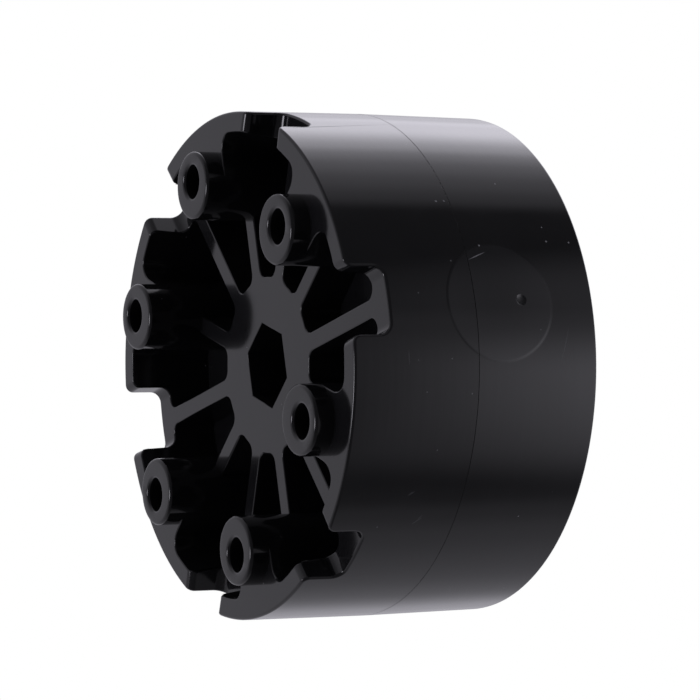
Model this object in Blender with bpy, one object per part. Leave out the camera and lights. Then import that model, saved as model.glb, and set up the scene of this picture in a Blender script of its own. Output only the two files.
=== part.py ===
"""Oldham coupling: two moulded hubs around a floating cross-slotted disc.

Metres, +Z up. The axis of the coupling is Y, the origin is on it in the plane
where the hubs meet, and the notched hub faces -Y. Each hub is drawn in x, z
and a depth measured outwards from that plane, then laid onto -Y (front) or
+Y (rear). The front hub's rim is notched and its bosses stand proud of it;
the rear hub's rim is plain and level with its bosses.
"""
import math

import bmesh
import bpy

MM = 0.001

# Outer drum.
SEAM_R = 31.75
FRONT_FACE_R = 31.53
REAR_FACE_R = 31.69
EDGE_CHAMFER = 0.3
SEAM_DEPTH = 0.06
RIM_DEPTH = 16.7
TIP_DEPTH = 19.25
DRUM_STEPS = 80

# Recessed face: web plane, pockets and the inner rim wall.
WEB_DEPTH = 11.68
FLOOR_DEPTH = 6.25
RIM_INNER_FACE = 28.95
RIM_INNER_WEB = 28.3
RIM_INNER_FLOOR = 27.7
HUB_R_WEB = 11.1
HUB_R_FLOOR = 11.35
RIB_HALF_WEB = 1.12
RIB_HALF_FLOOR = 1.3
SECTORS = 6
BOSS_ANGLE = 45.0
RIB_STEP = 30.0
WALL_STEP = 0.03

# Corner radii in the plane of the face.
HUB_CORNER = 1.4
TUBE_CORNER = 0.8
GUSSET_CORNER = 1.8
RIM_CORNER = 1.4

# Bosses.
BOSS_CIRCLE = 23.81
TUBE_R = 4.3
TIP_R = 4.25
TIP_ROUND = 0.45
HOLE_R = 2.05
HOLE_END_DEPTH = 7.25
TUBE_STEPS = 20
HOLE_STEPS = 16

# Rim notches.
NOTCH_HALF_WIDTH = 4.05
NOTCH_REACH = 34.0

# Bore and drive.
HEX_FLATS = 9.525
CAVITY_R = 27.5
PLATE_DEPTH = 4.25
TONGUE_HALF_LENGTH = 25.0
TONGUE_HALF_WIDTH = 7.0
TONGUE_END_DEPTH = 0.95
TONGUE_EDGE = 0.3

# Floating disc.
DISC_R = 26.0
DISC_HALF = 4.0
DISC_CHAMFER = 0.5
SLOT_HALF_WIDTH = 7.15
SLOT_FLOOR = 0.6
DISC_HOLE_R = 5.6
DISC_STEPS = 56

PLASTIC = ("hub_plastic", (0.012, 0.012, 0.013, 1.0), 0.28)
ACETAL = ("slider_acetal", (0.02, 0.02, 0.022, 1.0), 0.45)


def clear_scene():
    for item in list(bpy.data.objects):
        bpy.data.objects.remove(item, do_unlink=True)


def material(spec):
    name, colour, roughness = spec
    made = bpy.data.materials.new(name)
    made.diffuse_color = colour
    made.use_nodes = True
    shader = made.node_tree.nodes["Principled BSDF"]
    shader.inputs["Base Color"].default_value = colour
    shader.inputs["Roughness"].default_value = roughness
    return made


def polar(radius, degrees):
    angle = math.radians(degrees)
    return (radius * math.cos(angle), radius * math.sin(angle))


def turned(points, degrees):
    c = math.cos(math.radians(degrees))
    s = math.sin(math.radians(degrees))
    return [(x * c - y * s, x * s + y * c) for x, y in points]


def arc(centre, radius, start, end, steps):
    points = []
    for k in range(steps + 1):
        x, y = polar(radius, start + (end - start) * k / steps)
        points.append((centre[0] + x, centre[1] + y))
    return points


def angle_of(x, y):
    return math.degrees(math.atan2(y, x))


def gusset_corner(inner_r, tube_r):
    """Corner between a boss gusset and the rim arc, and the angle it ends at."""
    y = tube_r + GUSSET_CORNER
    x = math.sqrt((inner_r - GUSSET_CORNER) ** 2 - y ** 2)
    outward = angle_of(x, y)
    return arc((x, y), GUSSET_CORNER, -90.0, outward, 4), outward


def pocket_outline(level):
    """Pocket between a boss rib on the x axis and the next rib at +30 degrees."""
    inner_r, hub_r, half, tube_r = level
    hub_y = half + HUB_CORNER
    hub_x = math.sqrt((hub_r + HUB_CORNER) ** 2 - hub_y ** 2)
    hub_turn = angle_of(hub_x, hub_y)
    points = arc((hub_x, hub_y), HUB_CORNER, hub_turn - 180.0, -90.0, 3)

    tube_y = half + TUBE_CORNER
    tube_x = BOSS_CIRCLE - math.sqrt((tube_r + TUBE_CORNER) ** 2 - tube_y ** 2)
    to_tube = angle_of(BOSS_CIRCLE - tube_x, -tube_y)
    points += arc((tube_x, tube_y), TUBE_CORNER, -90.0, to_tube, 2)
    points += arc((BOSS_CIRCLE, 0.0), tube_r, to_tube + 180.0, 90.0, 5)[1:]

    corner, rim_start = gusset_corner(inner_r, tube_r)
    points += corner
    far_y = half + RIM_CORNER
    far_x = math.sqrt((inner_r - RIM_CORNER) ** 2 - far_y ** 2)
    far_turn = angle_of(far_x, far_y)
    points += arc((0.0, 0.0), inner_r, rim_start, RIB_STEP - far_turn, 3)[1:-1]
    rib = arc((far_x, -far_y), RIM_CORNER, -far_turn, 90.0, 4)
    rib += arc((hub_x, -hub_y), HUB_CORNER, 90.0, 180.0 - hub_turn, 3)
    points += turned(rib, RIB_STEP)
    points += arc((0.0, 0.0), hub_r, RIB_STEP - hub_turn, hub_turn, 2)[1:-1]
    return points


def notch_turn(radius):
    """Angle between a notch's middle and its parallel side at a radius."""
    return math.degrees(math.asin(NOTCH_HALF_WIDTH / radius))


def recess_outline(inner_r, notched):
    """Opening inside the rim, around the bosses and out through the notches."""
    outline = []
    corner, rim_start = gusset_corner(inner_r, TUBE_R)
    lower = [(x, -y) for x, y in reversed(corner)]
    tube = arc((BOSS_CIRCLE, 0.0), TUBE_R, -90.0, -270.0, TUBE_STEPS // 2)
    inner_turn = notch_turn(inner_r)
    outer_turn = notch_turn(NOTCH_REACH)
    next_start = 2.0 * RIB_STEP - rim_start
    for k in range(SECTORS):
        points = lower + tube + corner
        if notched:
            points += arc((0.0, 0.0), inner_r, rim_start, RIB_STEP - inner_turn, 2)[1:]
            points += arc((0.0, 0.0), NOTCH_REACH, RIB_STEP - outer_turn, RIB_STEP + outer_turn, 2)
            points += arc((0.0, 0.0), inner_r, RIB_STEP + inner_turn, next_start, 2)[:-1]
        else:
            points += arc((0.0, 0.0), inner_r, rim_start, next_start, 10)[1:-1]
        outline += turned(points, BOSS_ANGLE + 60.0 * k)
    return outline


def loft(name, rings):
    """Closed body through rings of (points, depth); equal counts per ring."""
    mesh = bmesh.new()
    loops = []
    for points, depth in rings:
        loops.append([mesh.verts.new((x * MM, y * MM, depth * MM)) for x, y in points])
    count = len(loops[0])
    for low, high in zip(loops, loops[1:]):
        for k in range(count):
            n = (k + 1) % count
            mesh.faces.new((low[k], low[n], high[n], high[k]))
    mesh.faces.new(loops[0])
    mesh.faces.new(loops[-1])
    return finish_mesh(name, mesh)


def revolve(name, profile, steps, centre=(0.0, 0.0)):
    """Closed body from a profile of (radius, depth) between two axis points."""
    rings = []
    for radius, depth in profile:
        rings.append((arc(centre, radius, 0.0, 360.0 - 360.0 / steps, steps - 1), depth))
    return loft(name, rings)


def box(name, low, high):
    corners = [(low[0], low[1]), (high[0], low[1]), (high[0], high[1]), (low[0], high[1])]
    return loft(name, [(corners, low[2]), (corners, high[2])])


def finish_mesh(name, mesh):
    bmesh.ops.recalc_face_normals(mesh, faces=mesh.faces)
    data = bpy.data.meshes.new(name)
    mesh.to_mesh(data)
    mesh.free()
    made = bpy.data.objects.new(name, data)
    bpy.context.scene.collection.objects.link(made)
    return made


def apply_boolean(body, other, operation):
    modifier = body.modifiers.new(operation.lower(), "BOOLEAN")
    modifier.operation = operation
    modifier.solver = "EXACT"
    modifier.object = other
    graph = bpy.context.evaluated_depsgraph_get()
    result = bpy.data.meshes.new_from_object(body.evaluated_get(graph))
    body.modifiers.remove(modifier)
    old = body.data
    body.data = result
    bpy.data.meshes.remove(old)
    bpy.data.objects.remove(other, do_unlink=True)


def cut(body, other):
    apply_boolean(body, other, "DIFFERENCE")


def join(body, other):
    apply_boolean(body, other, "UNION")


def drum_blank(face_r):
    profile = [
        (face_r - EDGE_CHAMFER, RIM_DEPTH),
        (face_r, RIM_DEPTH - EDGE_CHAMFER),
        (SEAM_R, SEAM_DEPTH),
        (CAVITY_R, SEAM_DEPTH),
        (CAVITY_R, PLATE_DEPTH),
    ]
    return revolve("blank", profile, DRUM_STEPS)


def inner_wall(depth):
    """Radius of the drafted rim wall at a depth between web and rim face."""
    share = (depth - WEB_DEPTH) / (RIM_DEPTH - WEB_DEPTH)
    return RIM_INNER_WEB + (RIM_INNER_FACE - RIM_INNER_WEB) * share


def cut_recess(hub, notched):
    above = RIM_DEPTH + 1.0
    rings = [
        (recess_outline(RIM_INNER_WEB, notched), WEB_DEPTH),
        (recess_outline(inner_wall(above), notched), above),
    ]
    cut(hub, loft("recess", rings))


def cut_pockets(hub):
    above = WEB_DEPTH + 1.0
    tube_r = TUBE_R + WALL_STEP
    top = (RIM_INNER_WEB - WALL_STEP, HUB_R_WEB, RIB_HALF_WEB, tube_r)
    floor = (RIM_INNER_FLOOR, HUB_R_FLOOR, RIB_HALF_FLOOR, tube_r)
    upper = pocket_outline(top)
    lower = pocket_outline(floor)
    for k in range(SECTORS):
        for side in (1.0, -1.0):
            angle = BOSS_ANGLE + 60.0 * k
            rings = []
            for points, depth in ((lower, FLOOR_DEPTH), (upper, WEB_DEPTH), (upper, above)):
                flipped = [(x, side * y) for x, y in points]
                rings.append((turned(flipped, angle), depth))
            cut(hub, loft("pocket", rings))


def add_tips(hub):
    profile = [(TIP_R, RIM_DEPTH - 1.0), (TIP_R, TIP_DEPTH - TIP_ROUND)]
    for degrees in (30.0, 60.0, 90.0):
        x, y = polar(TIP_ROUND, degrees)
        profile.append((TIP_R - TIP_ROUND + x, TIP_DEPTH - TIP_ROUND + y))
    for k in range(SECTORS):
        centre = polar(BOSS_CIRCLE, BOSS_ANGLE + 60.0 * k)
        join(hub, revolve("tip", profile, TUBE_STEPS, centre))


def cut_holes(hub):
    profile = [(HOLE_R, HOLE_END_DEPTH), (HOLE_R, TIP_DEPTH + 1.0)]
    for k in range(SECTORS):
        centre = polar(BOSS_CIRCLE, BOSS_ANGLE + 60.0 * k)
        cut(hub, revolve("hole", profile, HOLE_STEPS, centre))


def add_tongue(hub, along_x):
    long_half, wide_half = TONGUE_HALF_LENGTH, TONGUE_HALF_WIDTH
    outer = [(-long_half, -wide_half), (long_half, -wide_half),
             (long_half, wide_half), (-long_half, wide_half)]
    inner = [(math.copysign(abs(x) - TONGUE_EDGE, x), math.copysign(abs(y) - TONGUE_EDGE, y))
             for x, y in outer]
    if not along_x:
        outer = turned(outer, 90.0)
        inner = turned(inner, 90.0)
    rings = [
        (inner, TONGUE_END_DEPTH),
        (outer, TONGUE_END_DEPTH + TONGUE_EDGE),
        (outer, PLATE_DEPTH + 0.6),
    ]
    join(hub, loft("tongue", rings))


def cut_bore(hub):
    vertex_r = HEX_FLATS / math.sqrt(3.0)
    corners = [polar(vertex_r, BOSS_ANGLE + 60.0 * k) for k in range(6)]
    cut(hub, loft("bore", [(corners, -0.5), (corners, WEB_DEPTH + 1.5)]))


def lay_down(body, outward):
    """Turn (x, z, depth) into world x, y, z with depth along -Y or +Y."""
    mesh = bmesh.new()
    mesh.from_mesh(body.data)
    for vert in mesh.verts:
        x, z, depth = vert.co
        vert.co = (x, outward * depth, z)
    bmesh.ops.remove_doubles(mesh, verts=mesh.verts, dist=0.000002)
    bmesh.ops.recalc_face_normals(mesh, faces=mesh.faces)
    mesh.to_mesh(body.data)
    mesh.free()


def shade(body, made_of):
    body.data.materials.clear()
    body.data.materials.append(made_of)
    for polygon in body.data.polygons:
        polygon.use_smooth = True
        polygon.material_index = 0
    body.data.set_sharp_from_angle(angle=math.radians(32.0))


def build_hub(name, outward, notched, tongue_along_x, made_of):
    face_r = FRONT_FACE_R if notched else REAR_FACE_R
    hub = drum_blank(face_r)
    hub.name = name
    hub.data.name = name
    cut_recess(hub, notched)
    cut_pockets(hub)
    if notched:
        add_tips(hub)
    cut_holes(hub)
    add_tongue(hub, tongue_along_x)
    cut_bore(hub)
    lay_down(hub, outward)
    shade(hub, made_of)
    return hub


def build_disc(name, made_of):
    inner = DISC_R - DISC_CHAMFER
    shoulder = DISC_HALF - DISC_CHAMFER
    disc = revolve(name, [(inner, -DISC_HALF), (DISC_R, -shoulder), (DISC_R, shoulder),
                          (inner, DISC_HALF)], DISC_STEPS)
    reach = DISC_R + 2.0
    front = box("front_slot", (-reach, -SLOT_HALF_WIDTH, SLOT_FLOOR),
                (reach, SLOT_HALF_WIDTH, DISC_HALF + 1.0))
    rear = box("rear_slot", (-SLOT_HALF_WIDTH, -reach, -DISC_HALF - 1.0),
               (SLOT_HALF_WIDTH, reach, -SLOT_FLOOR))
    cut(disc, front)
    cut(disc, rear)
    cut(disc, revolve("hole", [(DISC_HOLE_R, -2.0), (DISC_HOLE_R, 2.0)], 32))
    lay_down(disc, -1.0)
    shade(disc, made_of)
    return disc


def main():
    clear_scene()
    plastic = material(PLASTIC)
    acetal = material(ACETAL)
    rear = build_hub("rear_hub", 1.0, False, False, plastic)
    disc = build_disc("slider_disc", acetal)
    front = build_hub("front_hub", -1.0, True, True, plastic)
    disc.parent = rear
    front.parent = disc


main()
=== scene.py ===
"""Looks of the Oldham coupling: moulded hubs, disc, black plastic, studio and camera."""
import math

import bmesh
import bpy
from mathutils import Matrix, Vector


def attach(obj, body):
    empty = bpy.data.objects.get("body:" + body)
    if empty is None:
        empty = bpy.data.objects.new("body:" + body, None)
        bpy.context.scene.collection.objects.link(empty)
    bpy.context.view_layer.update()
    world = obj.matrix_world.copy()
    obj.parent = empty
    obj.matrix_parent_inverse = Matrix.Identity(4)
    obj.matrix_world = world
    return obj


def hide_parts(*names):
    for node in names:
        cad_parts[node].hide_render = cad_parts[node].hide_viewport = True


MM = 0.001

# Levels of a hub, as depths outwards from the middle plane (mm).
SEAM_DEPTH = 0.02
PLATE_DEPTH = 4.25
FLOOR_DEPTH = 6.25
HOLE_END_DEPTH = 7.25
WEB_DEPTH = 11.68
RIM_DEPTH = 16.7
TIP_DEPTH = 19.25
REAR_TIP_DEPTH = 16.2

# Plan of a sector, measured at the web (mm, degrees).
SECTORS = 6
PITCH = 360.0 / SECTORS
BOSS_ANGLE = 45.0
HALF_SECTOR = 30.0
RIM_INNER_R = 28.3
OUTER_R = 31.4
NOTCH_HALF_WIDTH = 4.05
NOTCH_FLOOR_HALF = 2.75
NOTCH_EDGE_R = 1.0
NOTCH_STEPS = 6
HUB_R = 11.1
RIB_HALF = 1.12
HUB_CORNER = 1.4
GUSSET_CORNER = 1.8
RIM_CORNER = 1.4
BOSS_CIRCLE = 23.3
HOLE_CIRCLE = 23.81
TUBE_R = 4.3
HOLE_R = 2.05
HEX_FLATS = 9.525
BORE_EDGE_R = 5.715

# Draft of the walls.
SEAM_R = 31.75
FRONT_FACE_R = 31.53
REAR_FACE_R = 31.69
RIM_LEAN = 0.1335
LEAN_FROM_R = 25.0
LEAN_FULL_R = 28.0
POCKET_LEAN = 0.14

# Tolerances when points and edges are told apart (mm).
PLAN_WELD = 0.005
WELD = 0.002
NEAR_LEVEL = 0.05
NEAR_WALL = 0.1

# Edge rounding: the full width and the shares of it that edges get.
ROUND = 0.45
ROUND_STEPS = 4
TIP_SHARE = 1.0
DRUM_SHARE = 0.8
EDGE_SHARE = 0.44
BORE_SHARE = 0.24
SEAM_SHARE = 0.08
DRUM_FACES_FROM_R = FRONT_FACE_R - 0.4
DRUM_FACING = 0.998
SHARP_ANGLE = 34.0
NARROW_ANGLE = 3.0
UPRIGHT_SHARE = 0.97

# Drive, with how far cutters reach past the surfaces that they cut.
CAVITY_R = 27.5
CAVITY_STEPS = 96
TONGUE_HALF_LENGTH = 25.0
TONGUE_HALF_WIDTH = 7.0
TONGUE_END_DEPTH = 0.95
TONGUE_ROOT = 0.6
CAVITY_PAST = 1.0
BORE_PAST_BACK = 0.5
BORE_PAST_WEB = 1.5

# Middle part of a noise's range, where most of its values lie.
NOISE_RANGE = (0.3, 0.7)

# Plastic of the hubs (mm for depths, features per metre for scales).
HUB_DARK = (0.0075, 0.0075, 0.008, 1.0)
HUB_LIGHT = (0.0125, 0.0125, 0.014, 1.0)
HUB_PALE = (0.03, 0.03, 0.032, 1.0)
HUB_ROUGHNESS = 0.105
ROUGHNESS_SPREAD = 0.015
CLOUD_SCALE = 160.0
FLOW_DEPTH = 0.0035
FLOW_SCALE = 28.0
FLOW_STRETCH = (1.0, 30.0, 1.0)
SINK_DEPTH = 0.02
SINK_SCALE = 70.0
DUST_COLOUR = (0.28, 0.28, 0.3, 1.0)
DUST_SCALE = 300.0
DUST_SIZE = 0.045
DUST_SHARE = 0.9
DUST_FADE_SCALE = 400.0
PALE_ROUGHNESS = 0.45

# Acetal of the disc (mm for depths).
DISC_DARK = (0.015, 0.015, 0.017, 1.0)
DISC_LIGHT = (0.026, 0.026, 0.028, 1.0)
DISC_ROUGHNESS = (0.38, 0.5)
DISC_GRAIN_SCALE = 420.0
DISC_LINE_DEPTH = 0.004
DISC_LINE_SCALE = 60.0
DISC_LINE_STRETCH = (1.0, 14.0, 1.0)

# Marks on the drum: (degrees up from +X, mm along +Y), then half widths or radii (mm).
PATCH = (14.5, 3.5)
PATCH_R = 7.3
PATCH_EDGE = (6.95, 7.4)
PATCH_HEIGHT = 0.025
PATCH_SHADE = 0.5
GATE = (14.9, 6.5)
GATE_R = 0.75
GATE_DEPTH = 0.2
GATE_ROUGHNESS = 0.3
SCUFF_SHARE = 0.15
SPECKS = [
    (38.9, -1.8, 0.2), (39.0, -0.7, 0.17), (44.6, 7.8, 0.15), (27.4, 2.1, 0.17),
    (28.7, 11.8, 0.17), (32.3, 11.8, 0.13), (28.5, 15.0, 0.17), (-34.5, 9.0, 0.12),
]
FIBRE = [((23.8, -0.1), (26.0, 2.9), 0.09)]
SCRATCHES = [
    ((9.3, 12.9), (1.2, 11.5), 0.14), ((-28.2, -7.6), (-27.0, -6.6), 0.16),
    ((-36.0, -5.9), (-33.6, -4.4), 0.12), ((-34.6, -5.2), (-33.2, -4.6), 0.1),
    ((-58.0, 5.0), (-62.0, 6.0), 0.1), ((4.5, -9.5), (0.5, -9.4), 0.1),
]

# Studio.
WORLD_TINT = (0.93, 0.91, 1.0, 1.0)
FLOOR_HALF = 1.5

# Camera.
CAMERA_AZIMUTH = 60.97
CAMERA_ELEVATION = 0.68
CAMERA_DISTANCE = 0.38296
CAMERA_ROLL = 0.08
CAMERA_LENS = 155.2
AIM = (0.0, 0.0002, 0.00187)


# ---------------------------------------------------------------- plan shapes

def polar(radius, degrees):
    angle = math.radians(degrees)
    return (radius * math.cos(angle), radius * math.sin(angle))


def angle_of(x, y):
    return math.degrees(math.atan2(y, x))


def turned(points, degrees):
    c = math.cos(math.radians(degrees))
    s = math.sin(math.radians(degrees))
    return [(x * c - y * s, x * s + y * c) for x, y in points]


def mirrored(points):
    """The run seen in the x axis, in the opposite order."""
    return [(x, -y) for x, y in reversed(points)]


def arc(centre, radius, start, end, steps):
    points = []
    for k in range(steps + 1):
        x, y = polar(radius, start + (end - start) * k / steps)
        points.append((centre[0] + x, centre[1] + y))
    return points


def line(start, end, steps):
    return [(start[0] + (end[0] - start[0]) * k / steps,
             start[1] + (end[1] - start[1]) * k / steps) for k in range(steps + 1)]


def chain(*runs):
    """Runs that share their end points, as one run."""
    joined = list(runs[0])
    for run in runs[1:]:
        joined += run[1:]
    return joined


def hub_to_rib():
    """Rounded corner from the centre disc to the upper side of the boss rib."""
    y = RIB_HALF + HUB_CORNER
    x = math.sqrt((HUB_R + HUB_CORNER) ** 2 - y ** 2)
    turn = angle_of(x, y)
    return arc((x, y), HUB_CORNER, turn - 180.0, -90.0, 8), turn


def tube_quarters():
    """Upper half of a boss circle: outside of 90 degrees, rib side, and inside the rib."""
    meet = 180.0 - math.degrees(math.asin(RIB_HALF / TUBE_R))
    centre = (BOSS_CIRCLE, 0.0)
    outside = arc(centre, TUBE_R, 0.0, 90.0, 12)
    beside = arc(centre, TUBE_R, 90.0, meet, 10)
    inside = arc(centre, TUBE_R, meet, 180.0, 2)
    return outside, beside, inside


def gusset_run():
    """From the tube along the gusset's side and round its corner to the rim."""
    y = TUBE_R + GUSSET_CORNER
    x = math.sqrt((RIM_INNER_R - GUSSET_CORNER) ** 2 - y ** 2)
    end = angle_of(x, y)
    side = line((BOSS_CIRCLE, TUBE_R), (x, TUBE_R), 4)
    return chain(side, arc((x, y), GUSSET_CORNER, -90.0, end, 9)), end


def flare_run():
    """From the rim round the foot of the next rib and along its side to the hub."""
    y = RIB_HALF + RIM_CORNER
    x = math.sqrt((RIM_INNER_R - RIM_CORNER) ** 2 - y ** 2)
    turn = angle_of(x, y)
    return turned(arc((x, -y), RIM_CORNER, -turn, 90.0, 11), HALF_SECTOR), HALF_SECTOR - turn


def notch_lines(flare_start):
    """Lines across the rim beside a notch: (inner point, outer point, depth) from its floor up."""
    floor_half = RIM_INNER_R * math.sin(math.radians(HALF_SECTOR - flare_start))
    fillet = NOTCH_HALF_WIDTH - floor_half
    profile = []
    for across, depth in arc((floor_half, WEB_DEPTH + fillet), fillet, -90.0, 0.0, NOTCH_STEPS):
        profile.append((across, depth))
    top_centre = (NOTCH_HALF_WIDTH + NOTCH_EDGE_R, RIM_DEPTH - NOTCH_EDGE_R)
    profile += arc(top_centre, NOTCH_EDGE_R, 180.0, 90.0, NOTCH_STEPS)
    lines = []
    for across, depth in profile:
        ends = [(math.sqrt(radius ** 2 - across ** 2), -across) for radius in (RIM_INNER_R, OUTER_R)]
        inner, outer = turned(ends, HALF_SECTOR)
        lines.append((inner, outer, depth))
    return lines


def notch_strips(lines):
    """Sloping strips between the lines beside a notch."""
    strips = []
    for (inner, outer, depth), (next_inner, next_outer, next_depth) in zip(lines, lines[1:]):
        if inner != next_inner:
            strips.append(([inner, outer, next_outer, next_inner],
                           [depth, depth, next_depth, next_depth]))
    return strips


def mirrored_strip(strip):
    points, depths = strip
    return mirrored(points), depths[::-1]


def sector_regions(notched):
    """One sector as regions (points, depth or depths), its boss on the x axis."""
    corner, corner_turn = hub_to_rib()
    outside, beside, inside = tube_quarters()
    gusset, rim_start = gusset_run()
    flare, flare_start = flare_run()
    origin = (0.0, 0.0)
    lines = notch_lines(flare_start)
    far_corner = turned(mirrored(corner), HALF_SECTOR)
    middle = arc(origin, HUB_R, HALF_SECTOR - corner_turn, corner_turn, 5)
    hub_side = chain(flare, [flare[-1], far_corner[0]], far_corner, middle, corner)
    rib = [corner[-1], beside[-1]]
    strips = []
    if notched:
        inner, outer = [line[0] for line in lines], [line[1] for line in lines]
        rim = arc(origin, RIM_INNER_R, rim_start, angle_of(*inner[-1]), 3)
        edge = rim + inner[-2::-1]
        mouth = arc(origin, OUTER_R, HALF_SECTOR, angle_of(*outer[0]), 2)
        web_upper = chain(mouth, [outer[0], inner[0]], hub_side, rib, inside)
        island_end = [rim[-1], outer[-1]]
        reach = angle_of(*outer[-1])
        strips = notch_strips(lines)
        strips += [mirrored_strip(strip) for strip in strips]
    else:
        edge = rim = arc(origin, RIM_INNER_R, rim_start, flare_start, 5)
        end = arc(origin, RIM_INNER_R, flare_start, HALF_SECTOR, 4)
        web_upper = chain(list(reversed(end)), hub_side, rib, inside)
        island_end = chain(end, [end[-1], polar(OUTER_R, HALF_SECTOR)])
        reach = HALF_SECTOR
    shell = arc(origin, OUTER_R, reach, -reach, 2 * round(reach / 2.0))
    pocket = chain(hub_side, rib, list(reversed(beside)), gusset, edge)[:-1]
    island_upper = chain(outside, gusset, rim, island_end)
    island = chain(island_upper, shell, mirrored(island_upper))[:-1]
    web = [origin] + chain(web_upper, mirrored(web_upper))

    circle = chain(outside, beside, inside)
    circle = chain(circle, mirrored(circle))[:-1]
    share = HOLE_R / TUBE_R
    hole = [(HOLE_CIRCLE + (x - BOSS_CIRCLE) * share, y * share) for x, y in circle]
    regions = [(web, WEB_DEPTH), (island, RIM_DEPTH), (hole, HOLE_END_DEPTH),
               (pocket, FLOOR_DEPTH), (mirrored(pocket), FLOOR_DEPTH)]
    tip = TIP_DEPTH if notched else REAR_TIP_DEPTH
    for k in range(len(circle)):
        regions.append(([circle[k - 1], circle[k], hole[k], hole[k - 1]], tip))
    return regions + strips


# ---------------------------------------------------------------- hub bodies

def hub_plan(notched):
    """Every region of a hub as a plan face that shares its corners with its neighbours."""
    plan = bmesh.new()
    depth_at = plan.loops.layers.float.new("depth")
    for k in range(SECTORS):
        for points, depths in sector_regions(notched):
            placed = turned(points, BOSS_ANGLE + PITCH * k)
            face = plan.faces.new([plan.verts.new((x, y, 0.0)) for x, y in placed])
            for number, loop in enumerate(face.loops):
                loop[depth_at] = depths[number] if isinstance(depths, list) else depths
    bmesh.ops.remove_doubles(plan, verts=plan.verts, dist=PLAN_WELD)
    plan.verts.index_update()
    return plan, depth_at


def boss_gap(x, y):
    """Distance of a plan point from the nearest boss tube."""
    gaps = []
    for k in range(SECTORS):
        centre_x, centre_y = polar(BOSS_CIRCLE, BOSS_ANGLE + PITCH * k)
        gaps.append(math.hypot(x - centre_x, y - centre_y) - TUBE_R)
    return min(gaps)


def drum_slope(notched):
    """How much the drum's radius falls for each mm towards a hub's rim."""
    face_r = FRONT_FACE_R if notched else REAR_FACE_R
    return (SEAM_R - face_r) / (RIM_DEPTH - SEAM_DEPTH)


def drum_radius(depth, notched):
    return SEAM_R - drum_slope(notched) * (depth - SEAM_DEPTH)


def drafted(point, depth, notched):
    """Where a plan point lies at a depth, in metres, with the rim's walls leaning."""
    radius = math.hypot(point.x, point.y)
    if radius > OUTER_R - NEAR_WALL:
        new_radius = drum_radius(depth, notched)
    else:
        weight = (radius - LEAN_FROM_R) / (LEAN_FULL_R - LEAN_FROM_R)
        near_boss = min(max(boss_gap(point.x, point.y), 0.0), 1.0)
        weight = min(max(weight, 0.0), 1.0) * near_boss
        new_radius = radius + (depth - WEB_DEPTH) * RIM_LEAN * weight
    scale = MM * new_radius / radius if radius > 0.0 else MM
    return (point.x * scale, point.y * scale, depth * MM)


def raise_plan(plan, depth_at, notched):
    """Closed body: each region at its depth, walls between depths and a flat back."""
    body = bmesh.new()
    corners = {}
    stops = {}
    for vert in plan.verts:
        depths = {round(loop[depth_at], 3) for loop in vert.link_loops}
        if vert.is_boundary:
            depths.add(SEAM_DEPTH)
        stops[vert.index] = sorted(depths)
        for depth in stops[vert.index]:
            corners[vert.index, depth] = body.verts.new(drafted(vert.co, depth, notched))
    for face in plan.faces:
        body.faces.new([corners[loop.vert.index, round(loop[depth_at], 3)] for loop in face.loops])
    for edge in plan.edges:
        ends = []
        for vert in edge.verts:
            depths = {round(loop[depth_at], 3) for face in edge.link_faces
                      for loop in face.loops if loop.vert == vert}
            if edge.is_boundary:
                depths.add(SEAM_DEPTH)
            ends.append([corners[vert.index, depth] for depth in stops[vert.index]
                         if min(depths) <= depth <= max(depths)])
        if len(ends[0]) + len(ends[1]) > 2:
            body.faces.new(ends[0] + ends[1][::-1])
    bmesh.ops.holes_fill(body, edges=[e for e in body.edges if e.is_boundary], sides=0)
    bmesh.ops.recalc_face_normals(body, faces=body.faces)
    return body


def lean_pockets(body):
    """Draws each pocket's floor in a little, so that its walls lean."""
    for face in list(body.faces):
        on_floor = all(abs(v.co.z - FLOOR_DEPTH * MM) < 1e-6 for v in face.verts)
        if not on_floor:
            continue
        moves = []
        for loop in face.loops:
            before = (loop.vert.co - loop.link_loop_prev.vert.co).normalized()
            after = (loop.link_loop_next.vert.co - loop.vert.co).normalized()
            inward = face.normal.cross(before + after).normalized()
            moves.append((loop.vert, inward * POCKET_LEAN * MM))
        for vert, move in moves:
            vert.co += move


def to_object(name, mesh):
    data = bpy.data.meshes.new(name)
    mesh.to_mesh(data)
    mesh.free()
    made = bpy.data.objects.new(name, data)
    bpy.context.scene.collection.objects.link(made)
    return made


def loft(name, rings):
    """Closed body through rings of (points, depth), with as many points in each."""
    mesh = bmesh.new()
    loops = [[mesh.verts.new((x * MM, y * MM, depth * MM)) for x, y in points]
             for points, depth in rings]
    count = len(loops[0])
    for low, high in zip(loops, loops[1:]):
        for k in range(count):
            mesh.faces.new((low[k - 1], low[k], high[k], high[k - 1]))
    mesh.faces.new(loops[0])
    mesh.faces.new(loops[-1])
    bmesh.ops.recalc_face_normals(mesh, faces=mesh.faces)
    return to_object(name, mesh)


def ring(radius, steps):
    return arc((0.0, 0.0), radius, 0.0, 360.0 - 360.0 / steps, steps - 1)


def combine(body, other, operation):
    modifier = body.modifiers.new(operation, "BOOLEAN")
    modifier.operation = operation
    modifier.solver = "EXACT"
    modifier.object = other
    graph = bpy.context.evaluated_depsgraph_get()
    result = bpy.data.meshes.new_from_object(body.evaluated_get(graph))
    body.modifiers.remove(modifier)
    old = body.data
    body.data = result
    bpy.data.meshes.remove(old)
    bpy.data.objects.remove(other, do_unlink=True)


def box_outline(half_x, half_y):
    return [(-half_x, -half_y), (half_x, -half_y), (half_x, half_y), (-half_x, half_y)]


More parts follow.
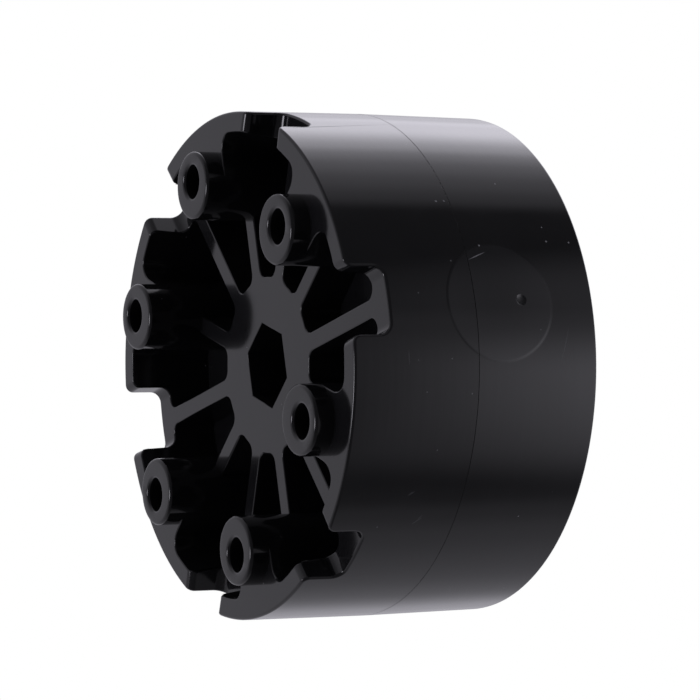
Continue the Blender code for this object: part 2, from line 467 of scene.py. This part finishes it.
def add_drive(hub, along_x):
    """Hollows the back, leaves the drive tongue and cuts the hex bore through."""
    circle = ring(CAVITY_R, CAVITY_STEPS)
    combine(hub, loft("cavity", [(circle, -CAVITY_PAST), (circle, PLATE_DEPTH)]), "DIFFERENCE")
    outline = box_outline(TONGUE_HALF_LENGTH, TONGUE_HALF_WIDTH)
    if not along_x:
        outline = turned(outline, 90.0)
    root = PLATE_DEPTH + TONGUE_ROOT
    combine(hub, loft("tongue", [(outline, TONGUE_END_DEPTH), (outline, root)]), "UNION")
    vertex_r = HEX_FLATS / math.sqrt(3.0)
    corners = [polar(vertex_r, BOSS_ANGLE + 60.0 * k) for k in range(6)]
    end = WEB_DEPTH + BORE_PAST_WEB
    combine(hub, loft("bore", [(corners, -BORE_PAST_BACK), (corners, end)]), "DIFFERENCE")


def cut_gate(hub):
    """Shallow round dimple where the moulding was filled, in the drum's outer wall."""
    degrees, depth = GATE
    ball_r = (GATE_R ** 2 + GATE_DEPTH ** 2) / (2.0 * GATE_DEPTH)
    x, y = polar(drum_radius(depth, False) + ball_r - GATE_DEPTH, degrees)
    mesh = bmesh.new()
    bmesh.ops.create_icosphere(mesh, subdivisions=5, radius=ball_r * MM,
                               matrix=Matrix.Translation(Vector((x, y, depth)) * MM))
    combine(hub, to_object("gate", mesh), "DIFFERENCE")


def lay_down(mesh, outward):
    """Turns (x, z, depth) into the frame's x, y, z, with depth along -Y or +Y."""
    for vert in mesh.verts:
        x, z, depth = vert.co
        vert.co = (x, outward * depth, z)
    bmesh.ops.recalc_face_normals(mesh, faces=mesh.faces)


def gap_share(point, notched):
    """Share of the rounding that fits beside a wall the edge runs into."""
    radius = math.hypot(point.x, point.y) / MM
    depth = point.z / MM
    if notched and abs(depth - RIM_DEPTH) < NEAR_LEVEL:
        return boss_gap(point.x / MM, point.y / MM) / ROUND
    if not notched and abs(depth - WEB_DEPTH) < NEAR_LEVEL:
        return (RIM_INNER_R - radius) / ROUND
    return 1.0


def edge_share(edge, notched):
    """How much of the full rounding an edge of the hub gets."""
    if not edge.is_manifold or edge.calc_face_angle_signed() < math.radians(SHARP_ANGLE):
        return 0.0
    low = min(vert.co.z for vert in edge.verts) / MM
    middle = (edge.verts[0].co + edge.verts[1].co) / 2.0
    radius = math.hypot(middle.x, middle.y) / MM
    if low < SEAM_DEPTH + 0.01:
        return SEAM_SHARE
    if radius < BORE_EDGE_R:
        return BORE_SHARE
    if low > TIP_DEPTH - NEAR_LEVEL:
        return TIP_SHARE
    if radius > FRONT_FACE_R - NEAR_WALL:
        return DRUM_SHARE
    shares = [gap_share(vert.co, notched) for vert in edge.verts]
    return min(max(min(shares), 0.0), EDGE_SHARE)


def beside_notch(point):
    """Whether a point of the hub is in the rim within the rounded sides of a notch."""
    radius = math.hypot(point.x, point.y) / MM
    turn = angle_of(point.x, point.y) - BOSS_ANGLE - HALF_SECTOR
    turn = (turn + HALF_SECTOR) % (2.0 * HALF_SECTOR) - HALF_SECTOR
    across = abs(radius * math.sin(math.radians(turn)))
    widest = NOTCH_HALF_WIDTH + NOTCH_EDGE_R + NEAR_WALL
    return radius > RIM_INNER_R - 1.0 and NOTCH_FLOOR_HALF < across < widest


def merge_narrow_walls(mesh):
    """Joins the narrow wall faces beside a notch, so that the rounding runs past them."""
    narrow = []
    for edge in mesh.edges:
        run = edge.verts[0].co - edge.verts[1].co
        upright = abs(run.z) > UPRIGHT_SHARE * run.length and beside_notch(edge.verts[0].co)
        if upright and edge.is_manifold and edge.calc_face_angle() < math.radians(NARROW_ANGLE):
            narrow.append(edge)
    bmesh.ops.dissolve_edges(mesh, edges=narrow, use_verts=False)


def soften_edges(hub, notched, outward):
    """Rounds the outer edges, widest at the boss tips, and lays the hub along its axis."""
    mesh = bmesh.new()
    mesh.from_mesh(hub.data)
    bmesh.ops.remove_doubles(mesh, verts=mesh.verts, dist=WELD * MM)
    bmesh.ops.dissolve_degenerate(mesh, edges=mesh.edges, dist=WELD * MM)
    bmesh.ops.recalc_face_normals(mesh, faces=mesh.faces)
    if notched:
        merge_narrow_walls(mesh)
    weight = mesh.edges.layers.float.new("bevel_weight_edge")
    for edge in mesh.edges:
        edge[weight] = edge_share(edge, notched)
    lay_down(mesh, outward)
    mesh.to_mesh(hub.data)
    mesh.free()
    for polygon in hub.data.polygons:
        polygon.use_smooth = True
    modifier = hub.modifiers.new("edges", "BEVEL")
    modifier.width = ROUND * MM
    modifier.segments = ROUND_STEPS
    modifier.limit_method = "WEIGHT"
    modifier.use_clamp_overlap = False
    modifier.miter_outer = "MITER_ARC"
    bake_modifiers(hub)
    hub.data.set_sharp_from_angle(angle=math.radians(SHARP_ANGLE))
    normals = hub.modifiers.new("normals", "WEIGHTED_NORMAL")
    normals.keep_sharp = True
    bake_modifiers(hub)
    true_drum_normals(hub, outward)


def true_drum_normals(hub, outward):
    """Shades the drum's outer wall as the smooth cone that it is."""
    slope = math.atan(drum_slope(outward < 0.0))
    data = hub.data
    normals = [Vector(corner.vector) for corner in data.corner_normals]
    for polygon in data.polygons:
        middle = Vector((polygon.center.x, 0.0, polygon.center.z))
        faces_out = polygon.normal.dot(middle.normalized()) >= DRUM_FACING
        if middle.length < DRUM_FACES_FROM_R * MM or not faces_out:
            continue
        for number in polygon.loop_indices:
            place = data.vertices[data.loops[number].vertex_index].co
            around = Vector((place.x, 0.0, place.z)).normalized() * math.cos(slope)
            normals[number] = around + Vector((0.0, outward * math.sin(slope), 0.0))
    data.normals_split_custom_set(normals)


def bake_modifiers(item):
    graph = bpy.context.evaluated_depsgraph_get()
    result = bpy.data.meshes.new_from_object(item.evaluated_get(graph))
    item.modifiers.clear()
    old = item.data
    item.data = result
    bpy.data.meshes.remove(old)


def build_hub(name, outward, notched, along_x):
    plan, depth_at = hub_plan(notched)
    body = raise_plan(plan, depth_at, notched)
    plan.free()
    lean_pockets(body)
    hub = to_object(name, body)
    add_drive(hub, along_x)
    if not notched:
        cut_gate(hub)
    soften_edges(hub, notched, outward)
    return hub


# ---------------------------------------------------------------- camera

def add_camera():
    azimuth = math.radians(CAMERA_AZIMUTH)
    elevation = math.radians(CAMERA_ELEVATION)
    back = Vector((math.sin(azimuth) * math.cos(elevation),
                   -math.cos(azimuth) * math.cos(elevation), math.sin(elevation)))
    data = bpy.data.cameras.new("camera")
    data.lens = CAMERA_LENS
    data.sensor_width = 36.0
    data.clip_start = 0.01
    camera = bpy.data.objects.new("camera", data)
    bpy.context.scene.collection.objects.link(camera)
    camera.location = back * CAMERA_DISTANCE + Vector(AIM)
    roll = Matrix.Rotation(math.radians(CAMERA_ROLL), 4, "Z")
    turn = (-back).to_track_quat("-Z", "Y").to_matrix().to_4x4() @ roll
    camera.rotation_euler = turn.to_euler()
    bpy.context.scene.camera = camera


# ---------------------------------------------------------------- studio

# Brightness of the studio round the coupling's axis, as (degrees up from +X, strength),
# seen in the directions that lean towards +Y.
SURROUND = [
    (-180.0, 0.42), (-172.0, 0.45), (-160.0, 0.66), (-148.0, 0.8), (-127.0, 0.52),
    (-112.0, 0.47), (-100.0, 0.46), (-82.0, 0.4), (-70.0, 0.28), (-61.0, 0.14), (-54.0, 0.11),
    (-35.0, 0.2), (-10.0, 0.25), (5.0, 0.26), (19.0, 0.24), (28.0, 0.12), (38.0, 0.08),
    (74.0, 0.09), (82.0, 0.42), (92.0, 0.65), (103.0, 0.96), (111.0, 1.4), (118.0, 2.2),
    (132.0, 3.0), (148.0, 2.05), (157.0, 1.2), (168.0, 0.74), (180.0, 0.42),
]
# The same in the directions that lean towards -Y.
FRONT_SURROUND = [
    (-180.0, 0.52), (-120.0, 0.5), (-60.0, 0.12), (0.0, 0.1), (60.0, 0.12), (120.0, 0.5),
    (180.0, 0.52),
]
# Lean of a direction along Y at which the front gives way to the rear, from and to.
FRONT_TO_REAR = (0.0, 0.42)
# Compact lamp in front of the coupling: direction, edge and core of its glow in degrees.
LAMP_DIRECTION = (-0.05, -0.99, -0.1)
LAMP_EDGE = 11.0
LAMP_CORE = 4.0
LAMP_STRENGTH = 7.0
# Soft card close to the right and rear of the drum (m, W). It fades in along +Y and out
# towards its top and bottom, and is dimmer above the axis (from, to, and the two shares).
CARD_PLACE = (0.125, 0.104, -0.01)
CARD_AIM = (0.031, 0.012, -0.002)
CARD_SIZE = (0.14, 0.32)
CARD_POWER = 0.195
CARD_FADE_Y = (0.057, 0.101)
CARD_FADE_TOP = (0.16, 0.08)
CARD_DIM_ABOVE = (0.05, -0.01, 0.2, 1.0)
CARD_FADE_BOTTOM = (-0.15, 0.0)
# The colour ramps hold strengths divided by this, so that none is over 1.
STRENGTH_SCALE = 4.0


def add_node(tree, kind, **settings):
    node = tree.nodes.new(kind)
    for name, value in settings.items():
        setattr(node, name, value)
    return node


def maths(tree, operation, *values):
    """A Math node on numbers or sockets; returns its output."""
    node = add_node(tree, "ShaderNodeMath", operation=operation)
    for slot_in, value in zip(node.inputs, values):
        if isinstance(value, bpy.types.NodeSocket):
            tree.links.new(value, slot_in)
        else:
            slot_in.default_value = value
    return node.outputs[0]


def vector_maths(tree, operation, first, second, output="Vector"):
    node = add_node(tree, "ShaderNodeVectorMath", operation=operation)
    for slot_in, value in zip(node.inputs, (first, second)):
        if isinstance(value, bpy.types.NodeSocket):
            tree.links.new(value, slot_in)
        else:
            slot_in.default_value = value
    return node.outputs[output]


def smooth_range(tree, value, from_low, from_high, to_low=0.0, to_high=1.0,
                 interpolation="SMOOTHSTEP"):
    node = add_node(tree, "ShaderNodeMapRange", interpolation_type=interpolation)
    tree.links.new(value, node.inputs["Value"])
    for name, number in (("From Min", from_low), ("From Max", from_high),
                         ("To Min", to_low), ("To Max", to_high)):
        node.inputs[name].default_value = number
    return node.outputs["Result"]


def brightness_round_axis(tree, turn, stops):
    """Brightness for a direction turned by 0..1 round the axis, from a list of stops."""
    ramp = add_node(tree, "ShaderNodeValToRGB")
    tree.links.new(turn, ramp.inputs["Fac"])
    elements = ramp.color_ramp.elements
    ramp.color_ramp.interpolation = "EASE"
    while len(elements) < len(stops):
        elements.new(0.5)
    for element, (degrees, strength) in zip(elements, stops):
        element.position = (degrees + 180.0) / 360.0
        grey = strength / STRENGTH_SCALE
        element.color = (grey, grey, grey, 1.0)
    return maths(tree, "MULTIPLY", ramp.outputs["Color"], STRENGTH_SCALE)


def add_world():
    world = bpy.data.worlds.new("studio")
    bpy.context.scene.world = world
    world.use_nodes = True
    tree = world.node_tree
    tree.nodes.clear()
    parts = add_node(tree, "ShaderNodeSeparateXYZ")
    tree.links.new(add_node(tree, "ShaderNodeTexCoord").outputs["Generated"], parts.inputs[0])
    angle = maths(tree, "ARCTAN2", parts.outputs["Z"], parts.outputs["X"])
    turn = maths(tree, "MULTIPLY_ADD", angle, 0.5 / math.pi, 0.5)
    rear = brightness_round_axis(tree, turn, SURROUND)
    front = brightness_round_axis(tree, turn, FRONT_SURROUND)
    share = smooth_range(tree, parts.outputs["Y"], *FRONT_TO_REAR)
    mixed = maths(tree, "MULTIPLY_ADD", maths(tree, "SUBTRACT", rear, front), share, front)
    towards = vector_maths(tree, "DOT_PRODUCT", parts.inputs[0].links[0].from_socket,
                           Vector(LAMP_DIRECTION).normalized(), "Value")
    lamp = smooth_range(tree, towards, math.cos(math.radians(LAMP_EDGE)),
                        math.cos(math.radians(LAMP_CORE)), 0.0, LAMP_STRENGTH)
    mixed = maths(tree, "ADD", mixed, lamp)
    lit = add_node(tree, "ShaderNodeBackground")
    lit.inputs["Color"].default_value = WORLD_TINT
    tree.links.new(mixed, lit.inputs["Strength"])
    white = add_node(tree, "ShaderNodeBackground")
    white.inputs["Color"].default_value = (1.0, 1.0, 1.0, 1.0)
    mix = add_node(tree, "ShaderNodeMixShader")
    tree.links.new(add_node(tree, "ShaderNodeLightPath").outputs["Is Camera Ray"], mix.inputs[0])
    tree.links.new(lit.outputs[0], mix.inputs[1])
    tree.links.new(white.outputs[0], mix.inputs[2])
    tree.links.new(mix.outputs[0], add_node(tree, "ShaderNodeOutputWorld").inputs["Surface"])


def add_card():
    """Soft light beside the drum, near enough for its reflection to fade along the drum."""
    data = bpy.data.lights.new("card", "AREA")
    data.shape = "RECTANGLE"
    data.size, data.size_y = CARD_SIZE
    data.energy = CARD_POWER
    data.color = WORLD_TINT[:3]
    card = bpy.data.objects.new("card", data)
    bpy.context.scene.collection.objects.link(card)
    card.location = CARD_PLACE
    facing = Vector(CARD_AIM) - Vector(CARD_PLACE)
    card.rotation_euler = facing.to_track_quat("-Z", "Y").to_euler()
    card.visible_camera = False
    data.use_nodes = True
    tree = data.node_tree
    parts = add_node(tree, "ShaderNodeSeparateXYZ")
    tree.links.new(add_node(tree, "ShaderNodeNewGeometry").outputs["Position"], parts.inputs[0])
    total = smooth_range(tree, parts.outputs["Y"], *CARD_FADE_Y, interpolation="LINEAR")
    for fade in (CARD_FADE_TOP, CARD_DIM_ABOVE, CARD_FADE_BOTTOM):
        total = maths(tree, "MULTIPLY", total, smooth_range(tree, parts.outputs["Z"], *fade))
    tree.links.new(total, tree.nodes["Emission"].inputs["Strength"])


def add_floor():
    """Pale plane under the drum that is plain white in the picture."""
    mesh = bmesh.new()
    bmesh.ops.create_grid(mesh, x_segments=1, y_segments=1, size=FLOOR_HALF)
    floor = to_object("floor", mesh)
    floor.location = (0.0, 0.0, -SEAM_R * MM)
    made = bpy.data.materials.new("floor_paper")
    made.use_nodes = True
    tree = made.node_tree
    tree.nodes.clear()
    glow = add_node(tree, "ShaderNodeEmission")
    glow.inputs["Color"].default_value = (1.0, 1.0, 1.0, 1.0)
    tree.links.new(glow.outputs[0], add_node(tree, "ShaderNodeOutputMaterial").inputs["Surface"])
    floor.data.materials.append(made)
    floor.visible_glossy = False
    floor.visible_diffuse = False
    floor.visible_shadow = False


# ---------------------------------------------------------------- plastics

def drum_place(degrees, y):
    """Point on the drum at an angle up from +X and a distance along +Y (mm)."""
    x, z = polar(drum_radius(abs(y), y < 0.0), degrees)
    return Vector((x, y, z))


def closeness(tree, place, centre, turn, half_sizes):
    """1 in the middle of an ellipsoid, 0 at its surface and outside (mm)."""
    mapping = add_node(tree, "ShaderNodeMapping", vector_type="TEXTURE")
    tree.links.new(place, mapping.inputs["Vector"])
    mapping.inputs["Location"].default_value = centre * MM
    mapping.inputs["Rotation"].default_value = turn
    mapping.inputs["Scale"].default_value = Vector(half_sizes) * MM
    length = vector_maths(tree, "LENGTH", mapping.outputs[0], (0.0, 0.0, 0.0), "Value")
    return smooth_range(tree, length, 0.35, 1.0, 1.0, 0.0)


def spot(tree, place, degrees, y, radius):
    return closeness(tree, place, drum_place(degrees, y), (0.0, 0.0, 0.0), [radius] * 3)


def streak(tree, place, start, end, half_width):
    """A thin line on the drum between two (degrees, y) points."""
    first, last = drum_place(*start), drum_place(*end)
    along = last - first
    turn = along.to_track_quat("X", "Z").to_euler()
    return closeness(tree, place, (first + last) / 2.0, turn,
                     (along.length / 2.0, half_width, half_width))


def strongest(tree, values):
    total = values[0]
    for value in values[1:]:
        total = maths(tree, "MAXIMUM", total, value)
    return total


def noise(tree, place, scale, stretch=(1.0, 1.0, 1.0), detail=3.0):
    """Noise from 0 to 1 with features of about 1 / scale metres."""
    stretched = vector_maths(tree, "MULTIPLY", place, stretch)
    node = add_node(tree, "ShaderNodeTexNoise")
    tree.links.new(stretched, node.inputs["Vector"])
    node.inputs["Scale"].default_value = scale
    node.inputs["Detail"].default_value = detail
    return node.outputs["Fac"]


def dust(tree, place):
    """Sparse specks: points of a cell pattern that happen to lie on the surface."""
    cells = add_node(tree, "ShaderNodeTexVoronoi")
    tree.links.new(place, cells.inputs["Vector"])
    cells.inputs["Scale"].default_value = DUST_SCALE
    distance = cells.outputs["Distance"]
    specks = smooth_range(tree, distance, DUST_SIZE * 0.4, DUST_SIZE, DUST_SHARE, 0.0)
    return maths(tree, "MULTIPLY", specks, noise(tree, place, DUST_FADE_SCALE))


def bump(tree, height, distance, normal=None):
    """Bump node for a height of 0..1 over a distance in mm; returns its normal."""
    node = add_node(tree, "ShaderNodeBump")
    tree.links.new(height, node.inputs["Height"])
    node.inputs["Distance"].default_value = distance * MM
    if normal is not None:
        tree.links.new(normal, node.inputs["Normal"])
    return node.outputs["Normal"]


def mixed_colour(tree, share, low, high):
    """Colour between two colours or sockets by a share of 0..1."""
    node = add_node(tree, "ShaderNodeMix", data_type="RGBA")
    tree.links.new(share, node.inputs["Factor"])
    for number, value in ((6, low), (7, high)):
        if isinstance(value, bpy.types.NodeSocket):
            tree.links.new(value, node.inputs[number])
        else:
            node.inputs[number].default_value = value
    return node.outputs[2]


def new_plastic(name):
    made = bpy.data.materials.new(name)
    made.use_nodes = True
    tree = made.node_tree
    place = add_node(tree, "ShaderNodeTexCoord").outputs["Object"]
    return made, tree, tree.nodes["Principled BSDF"].inputs, place


def hub_plastic():
    """Glossy black moulded plastic, with the drum's moulding marks, dust and wear."""
    made, tree, shader, place = new_plastic("hub_plastic_look")
    cloud = noise(tree, place, CLOUD_SCALE)
    colour = mixed_colour(tree, cloud, HUB_DARK, HUB_LIGHT)
    rough = smooth_range(tree, cloud, *NOISE_RANGE, HUB_ROUGHNESS - ROUGHNESS_SPREAD,
                         HUB_ROUGHNESS + ROUGHNESS_SPREAD)
    rough = maths(tree, "MULTIPLY_ADD", spot(tree, place, *GATE, GATE_R), GATE_ROUGHNESS, rough)
    normal = bump(tree, noise(tree, place, FLOW_SCALE, FLOW_STRETCH), FLOW_DEPTH)
    normal = bump(tree, noise(tree, place, SINK_SCALE, detail=0.0), SINK_DEPTH, normal)

    reach = vector_maths(tree, "DISTANCE", place, drum_place(*PATCH) * MM, "Value")
    patch = smooth_range(tree, reach, PATCH_EDGE[0] * MM, PATCH_EDGE[1] * MM, 1.0, 0.0)
    normal = bump(tree, patch, PATCH_HEIGHT, normal)
    lens = maths(tree, "MULTIPLY", patch, smooth_range(tree, reach, 0.0, PATCH_R * MM))
    colour = mixed_colour(tree, maths(tree, "MULTIPLY", lens, PATCH_SHADE), colour, HUB_PALE)

    scuffs = [streak(tree, place, *mark) for mark in SCRATCHES]
    pale = [dust(tree, place), maths(tree, "MULTIPLY", strongest(tree, scuffs), SCUFF_SHARE)]
    pale += [spot(tree, place, *mark) for mark in SPECKS]
    pale += [streak(tree, place, *mark) for mark in FIBRE]
    pale = strongest(tree, pale)
    tree.links.new(mixed_colour(tree, pale, colour, DUST_COLOUR), shader["Base Color"])
    tree.links.new(maths(tree, "MULTIPLY_ADD", pale, PALE_ROUGHNESS, rough), shader["Roughness"])
    tree.links.new(normal, shader["Normal"])
    shader["IOR"].default_value = 1.5
    return made


def disc_plastic():
    """Matt black acetal with fine turning lines."""
    made, tree, shader, place = new_plastic("slider_acetal_look")
    grain = noise(tree, place, DISC_GRAIN_SCALE)
    tree.links.new(mixed_colour(tree, grain, DISC_DARK, DISC_LIGHT), shader["Base Color"])
    rough = smooth_range(tree, grain, *NOISE_RANGE, *DISC_ROUGHNESS)
    tree.links.new(rough, shader["Roughness"])
    lines = noise(tree, place, DISC_LINE_SCALE, DISC_LINE_STRETCH)
    tree.links.new(bump(tree, lines, DISC_LINE_DEPTH), shader["Normal"])
    return made


def dress(item, material, body, node):
    item.data.materials.clear()
    item.data.materials.append(material)
    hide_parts(node)
    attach(item, body)


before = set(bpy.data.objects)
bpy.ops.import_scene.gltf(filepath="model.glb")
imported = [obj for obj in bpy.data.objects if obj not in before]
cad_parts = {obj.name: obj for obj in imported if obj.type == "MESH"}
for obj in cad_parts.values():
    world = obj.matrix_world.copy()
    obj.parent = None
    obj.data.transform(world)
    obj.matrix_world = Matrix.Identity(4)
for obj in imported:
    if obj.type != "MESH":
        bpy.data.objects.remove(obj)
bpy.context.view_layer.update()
plastic = hub_plastic()
dress(build_hub("front_hub_body", -1.0, True, True), plastic, "front_hub", "front_hub")
dress(build_hub("rear_hub_body", 1.0, False, False), plastic, "rear_hub", "rear_hub")
for place in bpy.data.objects["slider_disc"].material_slots:
    place.material = disc_plastic()
add_floor()
add_card()
add_camera()
add_world()
bpy.context.scene.view_settings.view_transform = "Standard"
